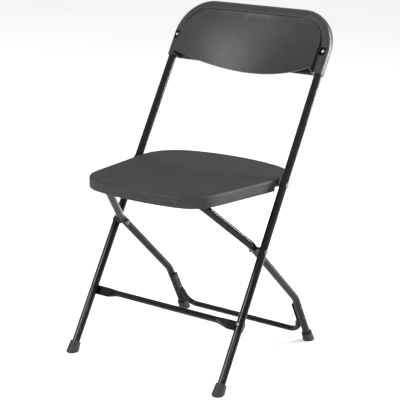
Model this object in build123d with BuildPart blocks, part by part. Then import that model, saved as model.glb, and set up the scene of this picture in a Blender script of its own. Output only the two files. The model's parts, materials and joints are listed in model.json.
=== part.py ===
from build123d import *
from math import sin, cos, radians, hypot
import os

# Folding chair: one bent front frame that carries the backrest, a bent rear leg
# frame that crosses it like scissors, and a moulded seat that swings up between
# the uprights. Millimetres, +Z up, chair faces -Y, symmetric about X = 0. The
# origin is the middle of the bounding box's underside, on the floor.

# ---------------------------------------------------------------- dimensions
FOOT_Y = -226.1          # where the front legs' centre lines meet the floor
LEAN = 30.57             # front frame's lean from vertical, degrees

FRAME_X = 218.4          # half distance between the front legs at the floor
FRAME_DRAW = 0.0041      # each upright draws in by this much per mm of its length
TUBE_R = 9.5             # 19 mm leg tube
WALL = 1.5
FRAME_TOP = 918.5        # along the frame, to the centre line of the top hoop
HOOP_R = 82.0

CROSSBAR_S = 165.0       # crossbar height along the frame
CROSSBAR_R = 7.5
PLATE = 3.4              # a tube end pressed flat
LEG_PIVOT_S = 340.6      # scissor pivot, along the frame
SEAT_PIVOT_S = 503.0     # seat pivot, along the frame
SCREW_S = 830.0          # backrest screws, along the frame

REAR_X = 193.5           # half distance between the rear legs
REAR_FOOT = (413.5, 0.0)          # rear leg points: distance behind the front
REAR_KNEE = (348.4, 126.9)        # feet, and height
REAR_ELBOW = (158.3, 308.5)
SLIDE_BAR = (34.4, 427.4)
SLIDE_X = 134.2          # half length of the slide bar, to its corners
BRACE_R = 7.2
BRACE_UP = 26.0          # brace bar, up the rear leg from the floor
BRACE_END = 124.0
BRACE_RIVETS = (80.0, 112.0)

SEAT_Z = 449.7           # seat top above the front feet
SEAT_TILT = 0.9          # the seat falls to the rear
SEAT_DEEP = 28.4         # skirt
SEAT_SKIN = 4.0
SEAT_WALL = 3.5
SEAT_REAR_RIM = 14.0     # the skirt is this shallow behind the pivots
SEAT_NOTCH_Y = 241.0     # where it becomes shallow

BACK_X = 226.5           # half width of the backrest
BACK_TOP = 930.5
BACK_LOW = 776.0         # lower ends of its sleeves
BACK_CORNER = 95.0
BACK_HALF = 12.5         # half thickness of its hood
BACK_ROUND = 9.0
PANEL_X = 200.0
PANEL_TOP = 908.0
PANEL_CORNER = 70.0
PANEL_SIDE_LOW = 784.5   # panel's lower edge at the sides
PANEL_MID_LOW = 765.0    # and in the middle
WING_WALL = 3.0          # walls that carry the panel's wings in front of the hood
WING_LOW = 779.0
BACK_SKIN = 3.2
RECESS = (18.0, 21.0)    # opening in the hood over each backrest screw
RECESS_X, RECESS_R = 213.0, 4.0

PIN_R = 4.0
PIN_PLAY = 0.05
FIT = 0.3                # gap beside moving pieces
CAP_TALL = 27.0
CAP_R = 15.4             # at its foot, below the floor line

UP = (sin(radians(LEAN)), cos(radians(LEAN)))       # up the frame, as (y, z)
SIDES = (("left", -1), ("right", 1))


def leg_x(s):
    """Half distance between the uprights at a place up the frame."""
    return FRAME_X - FRAME_DRAW * s


def on_frame(x, s, m=0.0):
    """Point s up the front frame and m out of its front face."""
    return (x, FOOT_Y + s * UP[0] - m * UP[1], s * UP[1] + m * UP[0])


def behind(x, point):
    """Point given by its distance behind the front feet and its height."""
    return (x, FOOT_Y + point[0], point[1])


frame_plane = Plane(origin=on_frame(0, 0), x_dir=(1, 0, 0), z_dir=(0, -UP[1], UP[0]))
tilt = radians(SEAT_TILT)
seat_plane = Plane(origin=(0, FOOT_Y, SEAT_Z), x_dir=(1, 0, 0), z_dir=(0, sin(tilt), cos(tilt)))

leg_run = (REAR_KNEE[0] - REAR_FOOT[0], REAR_KNEE[1] - REAR_FOOT[1])
leg_long = hypot(*leg_run)
REAR_UP = (leg_run[0] / leg_long, leg_run[1] / leg_long)

leg_pivot = on_frame(0, LEG_PIVOT_S)
seat_pivot = on_frame(0, SEAT_PIVOT_S)
bar_pin = seat_plane.to_local_coords(Vector(*behind(0, SLIDE_BAR)))


def across(point, x):
    """Plane square to X at a pivot, for round pieces whose axis runs across."""
    return Plane(origin=(x, point[1], point[2]), x_dir=(0, 1, 0), z_dir=(1, 0, 0))


def save(piece, label):
    piece.part.label = label
    export_step(piece.part, f"parts/{label}.step")


def tube_along(points, radii, outer, inner=0.0, mode=Mode.ADD):
    """Bent tube through points, each corner rounded to its radius."""
    with BuildLine() as path:
        FilletPolyline(*points, radius=radii)
    with BuildSketch(Plane(origin=path.line @ 0, z_dir=path.line % 0)) as ring:
        Circle(outer)
        if inner:
            Circle(inner, mode=Mode.SUBTRACT)
    sweep(ring.sketch, path=path.line, mode=mode)


def disc(plane, radius, amount, taper=0, mode=Mode.ADD):
    """Round boss, or a hole, standing on a plane's origin."""
    with BuildSketch(plane) as face:
        Circle(radius)
    extrude(face.sketch, amount=amount, taper=taper, mode=mode)


def drill(point, radius, reach):
    """Hole along X right through both sides."""
    disc(across(point, -reach), radius, 2 * reach, mode=Mode.SUBTRACT)


def facing(x, s):
    """Plane in the middle of the front frame's tube that faces forward."""
    return Plane(origin=on_frame(x, s), x_dir=(1, 0, 0), z_dir=frame_plane.z_dir)


def outward(point, side, x):
    """Plane in the middle of a leg that faces away from the chair."""
    return Plane(origin=(side * x, point[1], point[2]), x_dir=(0, 1, 0), z_dir=(side, 0, 0))


def dent(middle, head):
    """Round dent in a tube wall, with a flat seat for a rivet's head."""
    with Locations(middle.offset(TUBE_R + DENT_R - 0.85 * SINK).origin):
        Sphere(DENT_R, mode=Mode.SUBTRACT)
    disc(middle.offset(TUBE_R - SINK), head + 0.1, 2 * TUBE_R, mode=Mode.SUBTRACT)


os.makedirs("parts", exist_ok=True)

# --------------------------------------------------------------- front frame
LEG_START = 12.1
hoop = [on_frame(side * leg_x(s), s) for s, side in
        ((LEG_START, -1), (FRAME_TOP, -1), (FRAME_TOP, 1), (LEG_START, 1))]
SINK = 1.0               # rivet heads sit this deep in a dent
DENT_R = 12.0
RIVET_R, RIVET_HEAD, RIVET_DOME = 2.5, 4.4, 1.8
PIN_HEAD, PIN_DOME = 6.2, 2.2
SCREW_R = 2.0

with BuildPart() as front_frame:
    tube_along(hoop, HOOP_R, TUBE_R, TUBE_R - WALL)
    drill(leg_pivot, PIN_R + 0.01, FRAME_X + 2 * TUBE_R)
    drill(seat_pivot, PIN_R + 0.01, FRAME_X + 2 * TUBE_R)
    for _, side in SIDES:
        crossbar_hole = facing(side * leg_x(CROSSBAR_S), CROSSBAR_S)
        disc(crossbar_hole.offset(-2 * TUBE_R), RIVET_R + 0.01, 4 * TUBE_R, mode=Mode.SUBTRACT)
        dent(crossbar_hole, RIVET_HEAD)
        disc(facing(side * leg_x(SCREW_S), SCREW_S), SCREW_R + 0.01, 2 * TUBE_R, mode=Mode.SUBTRACT)
        for point, s in ((leg_pivot, LEG_PIVOT_S), (seat_pivot, SEAT_PIVOT_S)):
            dent(outward(point, side, leg_x(s)), PIN_HEAD)
save(front_frame, "front_frame")

# ----------------------------------------------------------- front crossbar
FLAT_TO = 178.0          # the ends are flat from here outward
ROUND_TO = 150.0
PLATE_TALL = 23.0
PLATE_PAST = 5.6         # the plates end this far outside the uprights' middles
PLATE_DROP = 2.9         # and hang this far below the bar's middle
crossbar_m = -TUBE_R - PLATE / 2
crossbar_plane, plate_plane = [
    Plane(origin=on_frame(0, s, crossbar_m), x_dir=(0, UP[0], UP[1]), z_dir=(1, 0, 0))
    for s in (CROSSBAR_S, CROSSBAR_S - PLATE_DROP)]


def flattened_end(round_plane, flat_plane, radius, flat, length):
    """Round tube that is pressed to a flat plate towards its end."""
    with BuildSketch(round_plane) as round_end:
        RectangleRounded(2 * radius, 2 * radius, radius - 0.01)
    with BuildSketch(flat_plane) as flat_start:
        RectangleRounded(*flat, PLATE / 2 - 0.01)
    loft([round_end.sketch, flat_start.sketch])
    extrude(flat_start.sketch, amount=length)


with BuildPart() as front_crossbar:
    with BuildSketch(crossbar_plane.offset(-ROUND_TO)):
        RectangleRounded(2 * CROSSBAR_R, 2 * CROSSBAR_R, CROSSBAR_R - 0.01)
        Circle(CROSSBAR_R - WALL, mode=Mode.SUBTRACT)
    extrude(amount=2 * ROUND_TO)
    for _, side in SIDES:
        flattened_end(crossbar_plane.offset(side * ROUND_TO), plate_plane.offset(side * FLAT_TO),
                      CROSSBAR_R, (PLATE_TALL, PLATE), side * (leg_x(CROSSBAR_S) + PLATE_PAST - FLAT_TO))
        disc(facing(side * leg_x(CROSSBAR_S), CROSSBAR_S), RIVET_R + 0.01, -2 * TUBE_R, mode=Mode.SUBTRACT)
save(front_crossbar, "front_crossbar")


def rivet(plane, low, high, shank, head, dome):
    """Rivet along a plane's normal, with a domed head at each end."""
    disc(plane.offset(low), shank, high - low)
    disc(plane.offset(high), head, dome, taper=32)
    disc(plane.offset(low), head, -dome, taper=32)


with BuildPart() as crossbar_rivets:
    for _, side in SIDES:
        rivet(facing(side * leg_x(CROSSBAR_S), CROSSBAR_S), -TUBE_R - PLATE, TUBE_R - SINK,
              RIVET_R, RIVET_HEAD, RIVET_DOME)
save(crossbar_rivets, "crossbar_rivets")

# ------------------------------------------------------------ rear leg frame
leg_points = [behind(REAR_X, REAR_FOOT), behind(REAR_X, REAR_KNEE), behind(REAR_X, REAR_ELBOW),
              behind(SLIDE_X, SLIDE_BAR)]
foot_start = [p + d * LEG_START for p, d in zip(behind(REAR_X, REAR_FOOT), (0, *REAR_UP))]
leg_points[0] = tuple(foot_start)
other_leg = [(-x, y, z) for x, y, z in reversed(leg_points)]
KNEE_R, ELBOW_R, BAR_CORNER_R = 60.0, 42.0, 40.0


def brace_point(x, t):
    """Point t up the rear leg from the floor."""
    return behind(x, (REAR_FOOT[0] + t * REAR_UP[0], t * REAR_UP[1]))


with BuildPart() as rear_leg_frame:
    tube_along(leg_points + other_leg, [KNEE_R, ELBOW_R, BAR_CORNER_R, BAR_CORNER_R, ELBOW_R, KNEE_R],
               TUBE_R, TUBE_R - WALL)
    drill(leg_pivot, PIN_R + PIN_PLAY, FRAME_X)
    for t in BRACE_RIVETS:
        drill(brace_point(0, t), RIVET_R + 0.01, FRAME_X)
        for _, side in SIDES:
            dent(outward(brace_point(0, t), side, REAR_X), RIVET_HEAD)
save(rear_leg_frame, "rear_leg_frame")

# ---------------------------------------------------------------- rear brace
plate_x = REAR_X - TUBE_R - PLATE / 2
brace_x = REAR_X - TUBE_R - BRACE_R - 0.1
BRACE_CORNER = 32.0
ROUND_END = BRACE_UP + BRACE_CORNER
FLAT_START = ROUND_END + 15.0
BRACE_TALL = 17.0

with BuildPart() as rear_brace:
    bow = [(-brace_x, ROUND_END + 1), (-brace_x, BRACE_UP), (brace_x, BRACE_UP), (brace_x, ROUND_END + 1)]
    tube_along([brace_point(x, t) for x, t in bow], BRACE_CORNER, BRACE_R, BRACE_R - WALL)
    for _, side in SIDES:
        start = Plane(origin=brace_point(side * brace_x, ROUND_END + 1), x_dir=(1, 0, 0), z_dir=(0, *REAR_UP))
        flat = Plane(origin=brace_point(side * plate_x, FLAT_START), x_dir=(1, 0, 0), z_dir=(0, *REAR_UP))
        flattened_end(start, flat, BRACE_R, (PLATE, BRACE_TALL), BRACE_END - FLAT_START)
    for t in BRACE_RIVETS:
        drill(brace_point(0, t), RIVET_R + 0.01, FRAME_X)
save(rear_brace, "rear_brace")

with BuildPart() as brace_rivets:
    for _, side in SIDES:
        for t in BRACE_RIVETS:
            rivet(outward(brace_point(0, t), side, REAR_X), -TUBE_R - PLATE, TUBE_R - SINK,
                  RIVET_R, RIVET_HEAD, RIVET_DOME)
save(brace_rivets, "brace_rivets")


# -------------------------------------------------------------------- pivots
def saddle_spacer(middle, start, radius):
    """Bush between a moving piece and the upright, hollowed to fit the tube."""
    disc(middle.offset(start), radius, -start - TUBE_R / 2)
    disc(middle.offset(start), PIN_R + 0.01, -start, mode=Mode.SUBTRACT)
    tube_along(hoop, HOOP_R, TUBE_R, mode=Mode.SUBTRACT)


LEG_WASHER = 1.6
LEG_WASHER_R = 7.5
LEG_SPACER_R, SEAT_SPACER_R = 8.5, 7.0
leg_pin_x = leg_x(LEG_PIVOT_S)
rivet_tail = REAR_X - TUBE_R - FIT - LEG_WASHER - leg_pin_x
for name, side in SIDES:
    middle = outward(leg_pivot, side, leg_pin_x)
    with BuildPart() as leg_pivot_rivet:
        rivet(middle, rivet_tail, TUBE_R - SINK, PIN_R, PIN_HEAD, PIN_DOME)
    save(leg_pivot_rivet, f"leg_pivot_rivet_{name}")

    with BuildPart() as leg_pivot_washer:
        disc(middle.offset(rivet_tail), LEG_WASHER_R, LEG_WASHER)
        disc(middle.offset(rivet_tail), PIN_R + 0.01, LEG_WASHER, mode=Mode.SUBTRACT)
    save(leg_pivot_washer, f"leg_pivot_washer_{name}")

    with BuildPart() as leg_spacer:
        saddle_spacer(middle, REAR_X + TUBE_R + FIT - leg_pin_x, LEG_SPACER_R)
    save(leg_spacer, f"leg_spacer_{name}")

HUB_OUT = 194.0          # the seat's hubs run from here inward
HUB_IN = 160.0
seat_pin_x = leg_x(SEAT_PIVOT_S)
for name, side in SIDES:
    with BuildPart() as seat_spacer:
        saddle_spacer(outward(seat_pivot, side, seat_pin_x), HUB_OUT + FIT - seat_pin_x, SEAT_SPACER_R)
    save(seat_spacer, f"seat_spacer_{name}")

with BuildPart() as seat_pivot_rod:
    rod_reach = seat_pin_x + TUBE_R - SINK
    rivet(across(seat_pivot, 0), -rod_reach, rod_reach, PIN_R, PIN_HEAD, PIN_DOME)
save(seat_pivot_rod, "seat_pivot_rod")

# ---------------------------------------------------------------------- seat
SEAT_FRONT, SEAT_REAR = -28.0, 384.0      # its edges on the centre line
SEAT_FRONT_CORNER, SEAT_REAR_CORNER = (170.0, -3.6), (213.0, 329.0)
SEAT_FRONT_R, SEAT_REAR_R = 73.0, 101.0
SEAT_EDGE_R, SEAT_HEM_R = 6.0, 1.6
RIB_DEEP = 10.9          # underside of the ribs, below the seat's top
RAIL_X = 72.0            # long ribs that ride on the slide bar's clips
RAIL_WIDE, RIB_WIDE = 6.0, 3.0
CROSS_RIBS, LONG_RIBS = (60, 120, 180, 300), (-130, 0, 130)
HUB_R = 10.0
SPACER_SLOT = 17.0       # notch in the skirt that lets the seat swing over its spacers
CLIP_R = TUBE_R + 1.0
CLIP_LONG, CLIP_MOUTH = 22.0, 9.0
STOP_WIDE, STOP_THICK, STOP_DEEP = 22.0, 6.0, 21.0


def seat_outline(inset=0.0):
    """Bowed front and rear edges, straight sides and round corners."""
    front_x, front_y = SEAT_FRONT_CORNER
    rear_x, rear_y = SEAT_REAR_CORNER
    with BuildSketch(mode=Mode.PRIVATE) as outline:
        with BuildLine():
            ThreePointArc((-front_x, front_y), (0, SEAT_FRONT), (front_x, front_y))
            Line((front_x, front_y), (rear_x, rear_y))
            ThreePointArc((rear_x, rear_y), (0, SEAT_REAR), (-rear_x, rear_y))
            Line((-rear_x, rear_y), (-front_x, front_y))
        make_face()
        corners = outline.vertices().sort_by(Axis.Y)
        fillet(corners[:2], radius=SEAT_FRONT_R)
        corners = outline.vertices().sort_by(lambda v: abs(v.X))
        fillet(corners[-2:], radius=SEAT_REAR_R)
        if inset:
            offset(amount=-inset)
    add(outline.sketch)


with BuildPart() as seat_shell:
    with BuildSketch(seat_plane):
        seat_outline()
    extrude(amount=-SEAT_DEEP)
    top_rim = seat_shell.faces().sort_by(Axis.Z)[-1].edges()
    low_rim = seat_shell.faces().sort_by(Axis.Z)[0].edges()
    fillet(top_rim, radius=SEAT_EDGE_R)
    fillet(low_rim, radius=SEAT_HEM_R)
    with BuildSketch(seat_plane.offset(-SEAT_SKIN)):
        seat_outline(inset=SEAT_WALL)
    extrude(amount=-SEAT_DEEP, mode=Mode.SUBTRACT)
    with BuildSketch(seat_plane.offset(-SEAT_REAR_RIM)):
        with Locations((0, SEAT_NOTCH_Y)):
            Rectangle(3 * FRAME_X, SEAT_REAR, align=(Align.CENTER, Align.MIN))
    extrude(amount=-SEAT_DEEP, mode=Mode.SUBTRACT)
    for _, side in SIDES:
        with BuildSketch(across(seat_pivot, side * (HUB_OUT + FIT / 2))):
            Rectangle(SPACER_SLOT, SPACER_SLOT)
        extrude(amount=side * 2 * SPACER_SLOT, mode=Mode.SUBTRACT)

# the seat is one moulding, kept as its ribbed panel and the skirt that hangs from it
panel_base = seat_plane.offset(-SEAT_SKIN)
with BuildPart() as seat_skirt:
    add(seat_shell.part)
    split(bisect_by=panel_base, keep=Keep.BOTTOM)
save(seat_skirt, "seat_skirt")

with BuildPart() as seat:
    add(seat_shell.part)
    split(bisect_by=panel_base, keep=Keep.TOP)
    with BuildSketch(panel_base):
        seat_outline(inset=SEAT_WALL)
        with BuildSketch(mode=Mode.INTERSECT):
            with Locations((-RAIL_X, SEAT_REAR / 2), (RAIL_X, SEAT_REAR / 2)):
                Rectangle(RAIL_WIDE, SEAT_REAR + 30)
            with Locations(*[(0, y) for y in CROSS_RIBS]):
                Rectangle(2 * FRAME_X, RIB_WIDE)
            with Locations(*[(x, SEAT_REAR / 2) for x in LONG_RIBS]):
                Rectangle(RIB_WIDE, SEAT_REAR + 30)
    extrude(amount=SEAT_SKIN - RIB_DEEP)
    for _, side in SIDES:
        with BuildSketch(across(seat_pivot, side * HUB_IN)):
            Circle(HUB_R)
            with Locations((0, 2)):
                Rectangle(2 * HUB_R, HUB_R - 2, align=(Align.CENTER, Align.MIN))
        extrude(amount=side * (HUB_OUT - HUB_IN))
    drill(seat_pivot, PIN_R + PIN_PLAY, FRAME_X)
    with BuildSketch(panel_base):
        for x in (-RAIL_X, RAIL_X):
            with Locations((x, bar_pin.Y - CLIP_R - FIT - STOP_THICK / 2)):
                Rectangle(STOP_WIDE, STOP_THICK)
    extrude(amount=SEAT_SKIN - STOP_DEEP)
save(seat, "seat")

# ------------------------------------------------------------ slide bar clips
for name, side in SIDES:
    bar_centre = across(behind(0, SLIDE_BAR), side * (RAIL_X - CLIP_LONG / 2))
    with BuildPart() as slide_glide:
        with BuildSketch(bar_centre):
            Circle(CLIP_R)
            Circle(TUBE_R + 0.02, mode=Mode.SUBTRACT)
            with Locations((0, -CLIP_R)):
                Rectangle(CLIP_MOUTH, CLIP_R, mode=Mode.SUBTRACT)
        extrude(amount=side * CLIP_LONG)
    save(slide_glide, f"slide_glide_{name}")

# ----------------------------------------------------------------- foot caps
CAP_SOLE = 12.0          # rubber under the end of the tube
CAP_BORE = TUBE_R + 0.2
CAP_LIP = 12.9
CAP_FOOT_R = 3.5         # rounding of the sole's edge


def foot_cap(centre_at, up):
    """Rubber cap turned about the leg, cut flat where it meets the floor."""
    section = Plane(origin=centre_at, x_dir=(1, 0, 0), z_dir=(0, -up[1], up[0]))
    with BuildSketch(section) as profile:
        with BuildLine():
            Polyline((0, CAP_SOLE), (0, -CAP_SOLE), (CAP_R, -CAP_SOLE), (CAP_LIP, CAP_TALL),
                     (CAP_BORE, CAP_TALL), (CAP_BORE, CAP_SOLE), (0, CAP_SOLE))
        make_face()
    revolve(profile.sketch, axis=Axis(centre_at, (0, *up)))
    split(bisect_by=Plane.XY, keep=Keep.TOP)
    sole = faces().sort_by(Axis.Z)[0]
    fillet(sole.edges(), radius=CAP_FOOT_R)


for name, side in SIDES:
    with BuildPart() as front_cap:
        foot_cap(on_frame(side * FRAME_X, 0), UP)
    save(front_cap, f"foot_cap_front_{name}")
    with BuildPart() as rear_cap:
        foot_cap(behind(side * REAR_X, REAR_FOOT), REAR_UP)
    save(rear_cap, f"foot_cap_rear_{name}")

# ------------------------------------------------------------------ backrest
PANEL_SHAPE = ((PANEL_TOP + 7, 8.0, 9.0), (865, -1.0, 15.5), (810, -13.0, 22.0), (740, -25.0, 31.0))
#                s up the frame, then m in the middle and at the sides
FAR = 60.0               # clear of the backrest, in front of it or behind


def hood_outline(half, top, corner):
    """Sleeves, hoop and panel as one flat shape in the frame's plane."""
    with BuildLine() as line:
        Line((-half, BACK_LOW), (-half, top - corner))
        RadiusArc((-half, top - corner), (-half + corner, top), corner)
        Line((-half + corner, top), (half - corner, top))
        RadiusArc((half - corner, top), (half, top - corner), corner)
        Line((half, top - corner), (half, BACK_LOW))
        Line((half, BACK_LOW), (-half, BACK_LOW))
    make_face(line.edges())


def panel_outline(low_side, low_mid, grow=0.0):
    """The panel's own outline, with a bowed lower edge."""
    half, top, corner = PANEL_X + grow, PANEL_TOP + grow, PANEL_CORNER
    with BuildLine() as line:
        Line((-half, low_side), (-half, top - corner))
        RadiusArc((-half, top - corner), (-half + corner, top), corner)
        Line((-half + corner, top), (half - corner, top))
        RadiusArc((half - corner, top), (half, top - corner), corner)
        Line((half, top - corner), (half, low_side))
        ThreePointArc((half, low_side), (0, low_mid), (-half, low_side))
    make_face(line.edges())


def before_surface(set_back=0.0):
    """Everything in front of the dished surface, moved back by set_back."""
    sections = []
    wide = PANEL_X + 2 * WING_WALL
    for s, middle, sides in PANEL_SHAPE:
        station = Plane(origin=on_frame(0, s), x_dir=(1, 0, 0), z_dir=(0, *UP))
        with BuildSketch(station) as section:
            with BuildLine():
                side_m, mid_m = set_back - sides, set_back - middle
                ThreePointArc((-wide, side_m), (0, mid_m), (wide, side_m))
                Line((wide, side_m), (wide, -FAR))
                Line((wide, -FAR), (-wide, -FAR))
                Line((-wide, -FAR), (-wide, side_m))
            make_face()
        sections.append(section.sketch)
    loft(sections)


with BuildPart() as open_front:
    before_surface()

with BuildPart() as panel:
    before_surface(BACK_SKIN)
    with BuildSketch(frame_plane.offset(-FAR)):
        panel_outline(PANEL_SIDE_LOW, PANEL_MID_LOW, grow=WING_WALL)
    extrude(amount=2 * FAR, mode=Mode.INTERSECT)
    add(open_front.part, mode=Mode.SUBTRACT)

with BuildPart() as wings:
    with BuildSketch(frame_plane):
        panel_outline(WING_LOW, WING_LOW - 1, grow=WING_WALL)
        with BuildSketch(mode=Mode.SUBTRACT):
            panel_outline(WING_LOW - 10, WING_LOW - 11)
    extrude(amount=FAR)
    add(open_front.part, mode=Mode.SUBTRACT)

with BuildPart() as dish:
    add(open_front.part)
    with BuildSketch(frame_plane.offset(-FAR)):
        panel_outline(BACK_LOW - 60, BACK_LOW - 70)
    extrude(amount=2 * FAR, mode=Mode.INTERSECT)

with BuildPart() as backrest:
    with BuildSketch(frame_plane.offset(-BACK_HALF)):
        hood_outline(BACK_X, BACK_TOP, BACK_CORNER)
    extrude(amount=2 * BACK_HALF)
    rims = backrest.faces().filter_by(frame_plane).edges()
    fillet(rims.filter_by(lambda e: e.center().Z > on_frame(0, BACK_LOW + 20)[2]), radius=BACK_ROUND)
    with BuildSketch(frame_plane.offset(BACK_SKIN - BACK_HALF)):
        panel_outline(BACK_LOW - 60, BACK_LOW - 70)
    extrude(amount=FAR, mode=Mode.SUBTRACT)
    add(dish.part, mode=Mode.SUBTRACT)
    add(panel.part)
    add(wings.part)
    tube_along(hoop, HOOP_R, TUBE_R + 0.1, mode=Mode.SUBTRACT)
    for _, side in SIDES:
        with BuildSketch(facing(side * RECESS_X, SCREW_S)):
            RectangleRounded(*RECESS, RECESS_R)
        extrude(amount=FAR, mode=Mode.SUBTRACT)
save(backrest, "backrest")

with BuildPart() as backrest_screws:
    for _, side in SIDES:
        seat_of_head = facing(side * leg_x(SCREW_S), SCREW_S).offset(TUBE_R)
        disc(seat_of_head, SCREW_R, -6)
        disc(seat_of_head, RIVET_HEAD, 2.6, taper=20)
save(backrest_screws, "backrest_screws")
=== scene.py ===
"""Folding chair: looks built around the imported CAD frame. Metres, chair faces -Y, +Z up."""
import json
import math

import bmesh
import bpy
import mathutils
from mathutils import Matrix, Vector


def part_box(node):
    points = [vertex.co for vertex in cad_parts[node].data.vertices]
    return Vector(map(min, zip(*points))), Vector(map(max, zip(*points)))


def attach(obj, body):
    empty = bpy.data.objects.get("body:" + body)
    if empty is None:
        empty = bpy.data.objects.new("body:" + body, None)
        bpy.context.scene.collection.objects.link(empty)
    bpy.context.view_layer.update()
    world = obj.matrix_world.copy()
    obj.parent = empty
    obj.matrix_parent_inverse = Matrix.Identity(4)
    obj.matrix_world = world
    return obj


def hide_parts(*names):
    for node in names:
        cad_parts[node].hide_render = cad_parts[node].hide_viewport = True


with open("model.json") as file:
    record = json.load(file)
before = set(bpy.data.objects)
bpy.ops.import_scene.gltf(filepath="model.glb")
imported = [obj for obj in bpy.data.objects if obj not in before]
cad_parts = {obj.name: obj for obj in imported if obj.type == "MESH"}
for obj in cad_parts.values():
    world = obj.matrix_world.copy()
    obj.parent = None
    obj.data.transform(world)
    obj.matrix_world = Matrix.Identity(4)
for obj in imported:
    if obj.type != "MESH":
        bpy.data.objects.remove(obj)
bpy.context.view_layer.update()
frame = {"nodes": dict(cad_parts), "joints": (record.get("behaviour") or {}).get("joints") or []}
FRONT, REAR, SEAT = "front_frame_body", "rear_legs", "seat_body"

# ------------------------------------------------- places read from the frame
pivots = {j["name"]: Vector(j["pos_m"]) for j in frame["joints"]}
UP = (pivots["seat_fold"] - pivots["rear_leg_fold"]).normalized()
OUT = Vector((0, -UP.z, UP.y))                    # out of the front frame's face
FOOT = pivots["seat_fold"] - UP * (pivots["seat_fold"].z / UP.z)


def on_frame(x, s, m=0.0):
    """Point x across, s up the leaning frame and m in front of it."""
    return FOOT + Vector((x, 0, 0)) + UP * s + OUT * m


# ------------------------------------------------------------------ materials
def material(name, color, roughness, metallic=0.0, specular=0.5):
    """Principled material whose constant values sit on the shader itself."""
    mat = bpy.data.materials.new(name)
    mat.use_nodes = True
    shader = mat.node_tree.nodes["Principled BSDF"]
    shader.inputs["Base Color"].default_value = (*color, 1)
    shader.inputs["Roughness"].default_value = roughness
    shader.inputs["Metallic"].default_value = metallic
    shader.inputs["Specular IOR Level"].default_value = specular
    return mat


def noise(mat, scale, detail=2.0, rough=0.5):
    """Noise texture in object space, so the grain has a real size."""
    nodes, links = mat.node_tree.nodes, mat.node_tree.links
    place = nodes.new("ShaderNodeTexCoord")
    tex = nodes.new("ShaderNodeTexNoise")
    tex.inputs["Scale"].default_value = scale
    tex.inputs["Detail"].default_value = detail
    tex.inputs["Roughness"].default_value = rough
    links.new(place.outputs["Object"], tex.inputs["Vector"])
    return tex


def spread(mat, tex, low, high, start=0.3, end=0.7):
    """Map a texture's value range onto low to high."""
    node = mat.node_tree.nodes.new("ShaderNodeMapRange")
    node.inputs["From Min"].default_value = start
    node.inputs["From Max"].default_value = end
    node.inputs["To Min"].default_value = low
    node.inputs["To Max"].default_value = high
    mat.node_tree.links.new(tex.outputs[0], node.inputs["Value"])
    return node


def tint(mat, tex, dark, light, start=0.3, end=0.7):
    """Base colour that wanders between two colours."""
    ramp = mat.node_tree.nodes.new("ShaderNodeValToRGB")
    ramp.color_ramp.elements[0].position = start
    ramp.color_ramp.elements[1].position = end
    ramp.color_ramp.elements[0].color = (*dark, 1)
    ramp.color_ramp.elements[1].color = (*light, 1)
    links = mat.node_tree.links
    links.new(tex.outputs[0], ramp.inputs["Fac"])
    links.new(ramp.outputs["Color"], mat.node_tree.nodes["Principled BSDF"].inputs["Base Color"])


def bumps(mat, layers):
    """Stack bump layers: (texture, strength, depth in metres)."""
    nodes, links = mat.node_tree.nodes, mat.node_tree.links
    below = None
    for tex, strength, depth in layers:
        bump = nodes.new("ShaderNodeBump")
        bump.inputs["Strength"].default_value = strength
        bump.inputs["Distance"].default_value = depth
        links.new(tex.outputs[0], bump.inputs["Height"])
        if below:
            links.new(below.outputs["Normal"], bump.inputs["Normal"])
        below = bump
    links.new(below.outputs["Normal"], nodes["Principled BSDF"].inputs["Normal"])


def rough_from(mat, node):
    mat.node_tree.links.new(node.outputs[0], mat.node_tree.nodes["Principled BSDF"].inputs["Roughness"])


def grained_plastic(name, dark, light, rough_low, rough_high, specular, grain=0.00018):
    """Moulded plastic: leathery pits, finer pits between them, speckle and faint flow clouds."""
    mat = material(name, light, rough_high, specular=specular)
    pits = mat.node_tree.nodes.new("ShaderNodeTexVoronoi")
    pits.inputs["Scale"].default_value = 640
    place = mat.node_tree.nodes.new("ShaderNodeTexCoord")
    mat.node_tree.links.new(place.outputs["Object"], pits.inputs["Vector"])
    fine, speck, cloud = noise(mat, 2400, 3.0), noise(mat, 430, 3.0, 0.7), noise(mat, 26, 4.0)
    tint(mat, speck, dark, light, 0.41, 0.59)
    rough_from(mat, spread(mat, cloud, rough_low, rough_high))
    bumps(mat, [(pits, 0.5, grain), (speck, 0.5, grain), (fine, 0.35, grain / 3)])
    return mat


def powder_coat(name, dark, light, rough_low, rough_high, specular):
    """Gloss black powder coat: orange peel, soft variation and dust."""
    mat = material(name, light, rough_low, specular=specular)
    peel, patch, dust = noise(mat, 520, 1.0), noise(mat, 42, 3.0), noise(mat, 1900, 2.0)
    tint(mat, patch, dark, light)
    rough_from(mat, spread(mat, patch, rough_low, rough_high))
    bumps(mat, [(peel, 0.05, 0.0002), (dust, 0.05, 0.00004)])
    return mat


def rubber(name):
    """Matt rubber with a dusty, slightly scuffed skin."""
    mat = material(name, (0.02, 0.02, 0.021), 0.6, specular=0.25)
    scuff, skin = noise(mat, 180, 5.0, 0.65), noise(mat, 1500, 2.0)
    tint(mat, scuff, (0.009, 0.009, 0.0093), (0.019, 0.019, 0.019))
    rough_from(mat, spread(mat, scuff, 0.48, 0.72))
    bumps(mat, [(skin, 0.3, 0.0001), (scuff, 0.25, 0.0002)])
    return mat


def plated(name, dark, light, rough_low, rough_high):
    """Zinc or blackened steel, mottled and finely brushed."""
    mat = material(name, light, rough_low, metallic=1.0)
    mottle, brush = noise(mat, 420, 4.0), noise(mat, 3200, 2.0)
    tint(mat, mottle, dark, light)
    rough_from(mat, spread(mat, mottle, rough_low, rough_high))
    bumps(mat, [(brush, 0.2, 0.00005)])
    return mat


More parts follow.
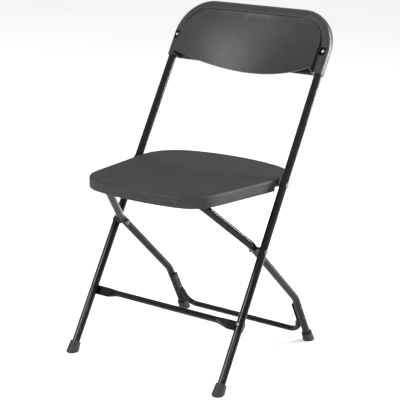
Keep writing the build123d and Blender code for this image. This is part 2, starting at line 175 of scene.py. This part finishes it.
TUBE = powder_coat("tube_black", (0.0030, 0.0030, 0.0030), (0.0050, 0.0050, 0.0052),
                   0.045, 0.075, 0.18)
REAR_TUBE = powder_coat("rear_tube_black", (0.0035, 0.0035, 0.0035), (0.0060, 0.0060, 0.0062),
                        0.08, 0.13, 0.16)
BACK_PLASTIC = grained_plastic("backrest_plastic", (0.009, 0.009, 0.0092), (0.023, 0.023, 0.0234),
                               0.35, 0.42, 0.3)
SEAT_PLASTIC = grained_plastic("seat_plastic", (0.009, 0.009, 0.0092), (0.026, 0.026, 0.0264),
                               0.50, 0.58, 0.16)
RUBBER = rubber("foot_rubber")
BUSH = grained_plastic("bush_plastic", (0.010, 0.010, 0.0105), (0.018, 0.018, 0.0185),
                       0.3, 0.42, 0.3, 0.00004)
ZINC = plated("zinc_steel", (0.42, 0.42, 0.43), (0.62, 0.62, 0.63), 0.22, 0.36)
RIVET = plated("rivet_steel", (0.030, 0.030, 0.032), (0.12, 0.12, 0.124), 0.20, 0.34)

NODE_FINISH = (("foot_cap", RUBBER), ("spacer", BUSH), ("glide", BUSH), ("washer", RIVET), ("screws", ZINC),
               ("rivet", RIVET), ("rod", RIVET), ("front_frame", TUBE), ("front_crossbar", TUBE),
               ("rear_brace", TUBE), ("rear_leg_frame", REAR_TUBE), ("backrest", BACK_PLASTIC),
               ("seat", SEAT_PLASTIC))


def finish_for(node):
    return next(mat for word, mat in NODE_FINISH if word in node)


for node, obj in frame["nodes"].items():
    obj.data.materials.clear()
    obj.data.materials.append(finish_for(node))

# ------------------------------------------------------------------- meshes
def build_mesh(name, verts, faces, mat, body, sharp=38):
    """Smooth shaded mesh object that rides a body and fills a material slot."""
    mesh = bpy.data.meshes.new(name)
    mesh.from_pydata([tuple(v) for v in verts], [], faces)
    mesh.validate()
    work = bmesh.new()
    work.from_mesh(mesh)
    bmesh.ops.remove_doubles(work, verts=work.verts, dist=1e-6)
    bmesh.ops.recalc_face_normals(work, faces=work.faces)
    work.to_mesh(mesh)
    work.free()
    mesh.shade_smooth()
    mesh.set_sharp_from_angle(angle=math.radians(sharp))
    mesh.materials.append(mat)
    obj = bpy.data.objects.new(name, mesh)
    bpy.context.scene.collection.objects.link(obj)
    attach(obj, body)
    return obj


def loops_to_faces(count, size, start=0, closed=True):
    """Quads between consecutive loops of the same size."""
    faces = []
    for k in range(count - 1):
        for i in range(size if closed else size - 1):
            j = (i + 1) % size
            low, high = start + k * size, start + (k + 1) * size
            faces.append((low + i, low + j, high + j, high + i))
    return faces


# --------------------------------------------------------------------- seat
SEAT_TOP, SEAT_TILT = 0.4497, math.radians(0.9)
STEP_Y = 0.241                                    # the skirt is shallow behind this
SLOT = 0.0085                                     # half width of the notch over each spacer
DEEP, SHALLOW, SKIN = 0.0284, 0.014, 0.0052       # skirt depths, and what is left in the notch
ROLL = 0.0066                                     # radius of the rolled top edge
WALL_LOW, WALL_HIGH = -0.02695, -0.0058           # the CAD skirt is upright between these
SEAT_MIDDLE = Vector((0, 0.176))
CROWN, CROWN_REACH = 0.0013, 0.86                 # the middle sinks by this much, fading to the rim
FLAT_IN, UNDERSIDE = 0.044, -0.0042               # where the dish begins, and the skin's lower face
RIB_TOP, RIB_LOW, STOP_LOW = -0.0036, -0.0109, -0.021
CROSS_RIBS, LONG_RIBS, RAILS = (0.060, 0.120, 0.180, 0.300), (-0.130, 0.0, 0.130), (-0.072, 0.072)
RIB_THICK, RAIL_THICK = 0.003, 0.006
RIB_END_GAP = 0.0045                              # ribs end this far inside the outline
STOP_HALF, STOP_AHEAD = 0.011, 0.0138             # the stop's half width, and its gap to the clip
HUB_IN, HUB_OUT, HUB_R, HUB_BORE = 0.160, 0.194, 0.010, 0.00405


def on_seat(x, y, z):
    """Point y behind the front feet and z above the seat's top face."""
    return Vector((x, FOOT.y + y * math.cos(SEAT_TILT) + z * math.sin(SEAT_TILT),
                   SEAT_TOP - y * math.sin(SEAT_TILT) + z * math.cos(SEAT_TILT)))


def into_seat(p):
    y, z = p.y - FOOT.y, p.z - SEAT_TOP
    return Vector((p.x, y * math.cos(SEAT_TILT) - z * math.sin(SEAT_TILT),
                   y * math.sin(SEAT_TILT) + z * math.cos(SEAT_TILT)))


pin = into_seat(pivots["seat_fold"])
PIN_Y, PIN_Z = pin.y, pin.z


def seat_outline(count=220):
    """Plan of the seat's outer wall, even and smooth, from its CAD skirt."""
    local = [into_seat(v.co) for v in frame["nodes"]["seat_skirt"].data.vertices]
    plan = [Vector((p.x, p.y)) for p in local if WALL_LOW < p.z < WALL_HIGH]
    hull = [plan[i] for i in mathutils.geometry.convex_hull_2d(plan)]
    edges = list(zip(hull, hull[1:] + hull[:1]))
    total = sum((b - a).length for a, b in edges)
    even, walked, goal = [], 0.0, 0.0
    for a, b in edges:
        long = (b - a).length
        while goal < walked + long and len(even) < count:
            even.append(a.lerp(b, (goal - walked) / long))
            goal += total / count
        walked += long
    for _ in range(6):
        even = [(even[i - 1] + 2 * even[i] + even[(i + 1) % count]) / 4 for i in range(count)]
    return even


def split_at(points, levels):
    """Adds a close pair of points wherever the outline crosses a level of y."""
    out = []
    for a, b in zip(points, points[1:] + points[:1]):
        out.append(a)
        cuts = sorted((lv for lv in levels if (a.y - lv) * (b.y - lv) < 0), reverse=a.y > b.y)
        for lv in cuts:
            away = 0.0001 if b.y > a.y else -0.0001
            for y in (lv - away, lv + away):
                out.append(a.lerp(b, (y - a.y) / (b.y - a.y)))
    return out


def seat_depth(y):
    if abs(y - PIN_Y) < SLOT:
        return SKIN
    return DEEP if y < STEP_Y else SHALLOW


def crown_at(share):
    """Height of the dished top between the middle, 0, and the rim, 1."""
    return -CROWN * (1 - share ** 2) ** 2


def seat_shell():
    """Crowned top, rolled edge, skirt with a hem, inner wall and underside as one skin."""
    plan = split_at(seat_outline(), (STEP_Y, PIN_Y - SLOT, PIN_Y + SLOT))
    size = len(plan)
    inward = []
    for i in range(size):
        along = plan[(i + 4) % size] - plan[i - 4]
        normal = Vector((-along.y, along.x)).normalized()
        inward.append(normal if normal.dot(SEAT_MIDDLE - plan[i]) > 0 else -normal)
    # profiles as (distance in from the outline, height below the top)
    top = [(FLAT_IN, 0), (0.034, 0), (0.026, 0), (0.019, 0), (0.014, -0.00004), (0.0100, -0.00012)]
    turns = [math.radians(d) for d in (12, 24, 36, 48, 60, 70, 80)]
    edge = [(ROLL - ROLL * math.sin(a) ** 0.96, -ROLL + ROLL * math.cos(a) ** 0.96) for a in turns]
    edge.append((0.0, -ROLL))
    wall = [(0.0, -0.0125), (0.0, -0.019), (0.00005, -0.0252)]
    hem = [(0.0003, -0.0266), (0.0009, -0.0278), (0.0018, -0.0284), (0.0026, -0.0281), (0.0032, -0.0272)]
    inside = [(0.0034, -0.0255), (0.0036, -0.015), (0.0040, -0.0085), (0.0048, -0.0058), (0.0062, -0.0047),
              (0.009, -0.0043)]
    verts, count = [on_seat(*SEAT_MIDDLE, -CROWN)], 0
    for share in (0.08, 0.17, 0.27, 0.38, 0.5, 0.62, 0.73, 0.83, 0.92):
        for p, n in zip(plan, inward):
            spot = SEAT_MIDDLE.lerp(p + n * FLAT_IN, share)
            verts.append(on_seat(spot.x, spot.y, crown_at(share * CROWN_REACH)))
        count += 1
    for d, z in top + edge + wall + hem + inside:
        sink = crown_at(CROWN_REACH) * min(max((d - 0.012) / 0.032, 0), 1) if (d, z) in top else 0
        for p, n in zip(plan, inward):
            spot, deep = p + n * d, seat_depth(p.y)
            level = z + sink
            if deep == SHALLOW and z < -ROLL:
                level = -ROLL + (z + ROLL) * (SHALLOW - ROLL) / (DEEP - ROLL)
            verts.append(on_seat(spot.x, spot.y, max(level, -deep)))
        count += 1
    for share in (0.8, 0.4):
        for p, n in zip(plan, inward):
            spot = SEAT_MIDDLE.lerp(p + n * 0.012, share)
            verts.append(on_seat(spot.x, spot.y, UNDERSIDE))
        count += 1
    faces = [(0, 1 + i, 1 + (i + 1) % size) for i in range(size)]
    faces += loops_to_faces(count, size, 1)
    last = 1 + (count - 1) * size
    verts.append(on_seat(*SEAT_MIDDLE, UNDERSIDE))
    faces += [(len(verts) - 1, last + (i + 1) % size, last + i) for i in range(size)]
    return verts, faces, plan


def box_between(verts, faces, corners_high, corners_low):
    """Adds a tapered block from its upper and lower four corners."""
    base = len(verts)
    verts += [on_seat(*c) for c in corners_high + corners_low]
    faces += [(base + a, base + b, base + c, base + d) for a, b, c, d in
              ((0, 1, 2, 3), (7, 6, 5, 4), (0, 4, 5, 1), (1, 5, 6, 2), (2, 6, 7, 3), (3, 7, 4, 0))]


def rib(verts, faces, x0, x1, y0, y1, thick, low):
    """Straight rib with draft, between two points under the seat's skin."""
    along = Vector((x1 - x0, y1 - y0)).normalized()
    side = Vector((-along.y, along.x)) * thick / 2
    rings = []
    for grow, z in ((1.25, RIB_TOP), (0.85, low)):
        dx, dy = side.x * grow, side.y * grow
        rings.append([(x0 + dx, y0 + dy, z), (x1 + dx, y1 + dy, z),
                      (x1 - dx, y1 - dy, z), (x0 - dx, y0 - dy, z)])
    box_between(verts, faces, *rings)


def hub(verts, faces, x0, x1):
    """Bored hub for the pivot rod, carried by a web from the skin."""
    size = 48
    base = len(verts)
    for x in (x0, x1):
        for outer in (True, False):
            for i in range(size):
                a = 2 * math.pi * (i + 0.5) / size
                y, z = math.cos(a), math.sin(a)
                if not outer:
                    verts.append(on_seat(x, PIN_Y + HUB_BORE * y, PIN_Z + HUB_BORE * z))
                elif z <= 0:
                    verts.append(on_seat(x, PIN_Y + HUB_R * y, PIN_Z + HUB_R * z))
                else:
                    square = max(abs(y), z)
                    verts.append(on_seat(x, PIN_Y + HUB_R * y / square,
                                         min(PIN_Z + HUB_R * z / square, RIB_TOP)))
    rings = [base + k * size for k in range(4)]        # near outer, near bore, far outer, far bore
    for a, b in ((0, 1), (2, 0), (1, 3), (3, 2)):
        for i in range(size):
            j = (i + 1) % size
            faces.append((rings[a] + i, rings[a] + j, rings[b] + j, rings[b] + i))


def crossing(plan, across, along, level):
    """Places on one axis where the outline crosses a level of the other axis."""
    return [a[across] for a, b in zip(plan, plan[1:] + plan[:1])
            if min(a[along], b[along]) <= level <= max(a[along], b[along])]


def make_seat():
    """Shell with its skirt as one piece, ribs with hubs and stops as another."""
    verts, faces, plan = seat_shell()
    shell = build_mesh("seat_moulding", verts, faces, SEAT_PLASTIC, SEAT, 50)
    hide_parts("seat", "seat_skirt")

    verts, faces = [], []
    for y in CROSS_RIBS:
        half = max(abs(x) for x in crossing(plan, 0, 1, y)) - RIB_END_GAP
        rib(verts, faces, -half, half, y, y, RIB_THICK, RIB_LOW)
    for x, thick in [(x, RIB_THICK) for x in LONG_RIBS] + [(x, RAIL_THICK) for x in RAILS]:
        ends = crossing(plan, 1, 0, x)
        rib(verts, faces, x, x, min(ends) + RIB_END_GAP, max(ends) - RIB_END_GAP, thick, RIB_LOW)
    low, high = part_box("slide_glide_right")
    stop_y = into_seat((Vector(low) + Vector(high)) / 2).y - STOP_AHEAD
    for x in RAILS:
        rib(verts, faces, x - STOP_HALF, x + STOP_HALF, stop_y, stop_y, RAIL_THICK, STOP_LOW)
    for side in (-1, 1):
        hub(verts, faces, side * HUB_IN, side * HUB_OUT)
    build_mesh("seat_ribs", verts, faces, SEAT_PLASTIC, SEAT, 30)


def soften(obj, width, segments=3):
    """Rounds the sharp edges of a CAD piece, as moulding and tumbling do."""
    edge = obj.modifiers.new("soft_edges", "BEVEL")
    edge.width = width
    edge.segments = segments
    edge.limit_method = "ANGLE"
    edge.angle_limit = math.radians(32)
    edge.use_clamp_overlap = True
    edge.harden_normals = True


# ----------------------------------------------------------------- backrest
PANEL_HALF, PANEL_TOP, PANEL_CORNER, WING_LOW, WALL = 0.200, 0.908, 0.070, 0.779, 0.003
HOOD_FACE, HOOD_TOP = 0.0125, 0.9305
GROOVE_WIDE, GROOVE_DEEP, GROOVE_CLEAR = 0.0028, 0.0022, 0.03
GROOVE_FADE = 0.55                                # share of its length after which the groove runs out
SEAM_HALF, SEAM_X = 0.0006, 0.138


def panel_path(side, grow, end_x=0.150):
    """Points up one side of the panel's outline and round its corner."""
    radius = PANEL_CORNER + grow
    centre_x, centre_s = PANEL_HALF - PANEL_CORNER, PANEL_TOP - PANEL_CORNER
    stop = math.acos((end_x - centre_x) / radius)
    path = [(side * (PANEL_HALF + grow), WING_LOW - 0.012), (side * (PANEL_HALF + grow), 0.81)]
    for k in range(25):
        a = stop * k / 24
        path.append((side * (centre_x + radius * math.cos(a)), centre_s + radius * math.sin(a)))
    return path


def groove_cutter(side):
    """Band beside the wing's wall that runs out to nothing along the top."""
    near, far = panel_path(side, WALL), panel_path(side, WALL + GROOVE_WIDE)
    verts, size = [], len(near)
    for k, (a, b) in enumerate(zip(near, far)):
        share = max(0.0, (k - size * GROOVE_FADE) / (size * (1 - GROOVE_FADE)))
        floor = HOOD_FACE - GROOVE_DEEP * (1 - share) + 0.0003 * share
        for point, m in ((a, floor), (b, floor), (b, GROOVE_CLEAR), (a, GROOVE_CLEAR)):
            verts.append(on_frame(point[0], point[1], m))
    faces = loops_to_faces(size, 4)
    last = 4 * (size - 1)
    return verts, faces + [(0, 1, 2, 3), (last + 3, last + 2, last + 1, last)]


def seam_cutter(x):
    """Thin slot over the front and the crest of the hood, a mould line."""
    outline = ((PANEL_TOP + 0.0035, 0.0115), (PANEL_TOP + 0.012, 0.0114), (HOOD_TOP - 0.0047, 0.0092),
               (HOOD_TOP - 0.0012, 0.0045), (HOOD_TOP + 0.004, 0.004), (HOOD_TOP + 0.004, 0.02),
               (PANEL_TOP + 0.0035, 0.02))
    verts = [on_frame(x + dx, s, m) for dx in (-SEAM_HALF, SEAM_HALF) for s, m in outline]
    size = len(outline)
    faces = loops_to_faces(2, size)
    return verts, faces + [tuple(range(size)), tuple(range(2 * size - 1, size - 1, -1))]


def carved(source, cutters):
    """Copy of a CAD piece's mesh with cutters taken out of it."""
    obj = bpy.data.objects.new("carving", source.data.copy())
    bpy.context.scene.collection.objects.link(obj)
    tools = []
    for k, (verts, faces) in enumerate(cutters):
        mesh = bpy.data.meshes.new(f"tool_{k}")
        mesh.from_pydata([tuple(v) for v in verts], [], faces)
        work = bmesh.new()
        work.from_mesh(mesh)
        bmesh.ops.recalc_face_normals(work, faces=work.faces)
        work.to_mesh(mesh)
        work.free()
        tool = bpy.data.objects.new(f"tool_{k}", mesh)
        bpy.context.scene.collection.objects.link(tool)
        cut = obj.modifiers.new("cut", "BOOLEAN")
        cut.operation, cut.solver, cut.object = "DIFFERENCE", "EXACT", tool
        tools.append(tool)
    bpy.context.view_layer.update()
    result = bpy.data.meshes.new_from_object(obj.evaluated_get(bpy.context.evaluated_depsgraph_get()))
    for old in (obj, *tools):
        bpy.data.objects.remove(old, do_unlink=True)
    return result


def make_backrest():
    """The CAD backrest with grooves beside its wings and mould lines over its top."""
    cutters = [groove_cutter(side) for side in (-1, 1)] + [seam_cutter(x) for x in (-SEAM_X, SEAM_X)]
    mesh = carved(frame["nodes"]["backrest"], cutters)
    mesh.name = "backrest_moulding"
    obj = bpy.data.objects.new("backrest_moulding", mesh)
    bpy.context.scene.collection.objects.link(obj)
    mesh.materials.clear()
    mesh.materials.append(BACK_PLASTIC)
    mesh.shade_smooth()
    mesh.set_sharp_from_angle(angle=math.radians(28))
    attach(obj, FRONT)
    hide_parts("backrest")
    soften(obj, 0.0008)


make_seat()
make_backrest()
for node, obj in frame["nodes"].items():
    if "foot_cap" in node:
        soften(obj, 0.0011)

# ---------------------------------------------------------------- the studio
def soft_box(name, place, aim, width, height, power):
    """Rectangular area light aimed at a point on the middle line."""
    data = bpy.data.lights.new(name, "AREA")
    data.energy = power
    data.shape = "RECTANGLE"
    data.size = width
    data.size_y = height
    lamp = bpy.data.objects.new(name, data)
    bpy.context.scene.collection.objects.link(lamp)
    lamp.location = place
    lamp.rotation_euler = (Vector(aim) - Vector(place)).to_track_quat("-Z", "Y").to_euler()


WALLS, CEILING = 0.2, 1.5                           # brightness of the surroundings


def studio():
    """Plain pale floor, white surroundings and four soft boxes."""
    bpy.ops.mesh.primitive_plane_add(size=80)
    floor = bpy.context.object
    floor.name = "floor"
    pale = material("pale_floor", (0.86, 0.86, 0.86), 0.75)
    cloud = noise(pale, 1.2, 2.0)
    tint(pale, cloud, (0.84, 0.84, 0.84), (0.87, 0.87, 0.87))
    floor.data.materials.append(pale)
    world = bpy.data.worlds.new("studio")
    world.use_nodes = True
    nodes, links = world.node_tree.nodes, world.node_tree.links
    place, split = nodes.new("ShaderNodeTexCoord"), nodes.new("ShaderNodeSeparateXYZ")
    sky = nodes.new("ShaderNodeMapRange")             # a broad soft light overhead, dim walls
    sky.interpolation_type = "SMOOTHSTEP"
    sky.inputs["From Min"].default_value = 0.1
    sky.inputs["To Min"].default_value = WALLS
    sky.inputs["To Max"].default_value = CEILING
    links.new(place.outputs["Generated"], split.inputs["Vector"])
    links.new(split.outputs["Z"], sky.inputs["Value"])
    links.new(sky.outputs["Result"], nodes["Background"].inputs["Strength"])
    nodes["Background"].inputs["Color"].default_value = (1, 1, 1, 1)
    bpy.context.scene.world = world
    soft_box("rim_strip", (1.58, 1.81, 1.25), (0, 0, 0.5), 0.14, 2.4, 170)
    soft_box("key", (2.6, -0.15, 1.5), (0, 0, 0.55), 0.8, 1.4, 9)
    soft_box("front_left", (-0.85, -2.5, 1.45), (0, 0, 0.62), 0.75, 1.1, 84)
    soft_box("front_strip", (2.25, -2.15, 0.75), (0, 0, 0.3), 0.05, 1.6, 34)


def camera():
    """Long lens, a little above the seat, from the front right."""
    azimuth, elevation, distance = math.radians(37.09), math.radians(15.61), 3.251
    target = FOOT + Vector((0.0506, 0.156, 0.3911))
    back = Vector((math.sin(azimuth) * math.cos(elevation), -math.cos(azimuth) * math.cos(elevation),
                   math.sin(elevation)))
    data = bpy.data.cameras.new("camera")
    data.lens = 126.33
    data.sensor_width = 36
    data.clip_end = 200
    cam = bpy.data.objects.new("camera", data)
    cam.location = target + back * distance
    cam.rotation_euler = back.to_track_quat("Z", "Y").to_euler()
    bpy.context.scene.collection.objects.link(cam)
    bpy.context.scene.camera = cam


studio()
camera()
bpy.context.scene.view_settings.view_transform = "Standard"

bpy.context.view_layer.update()
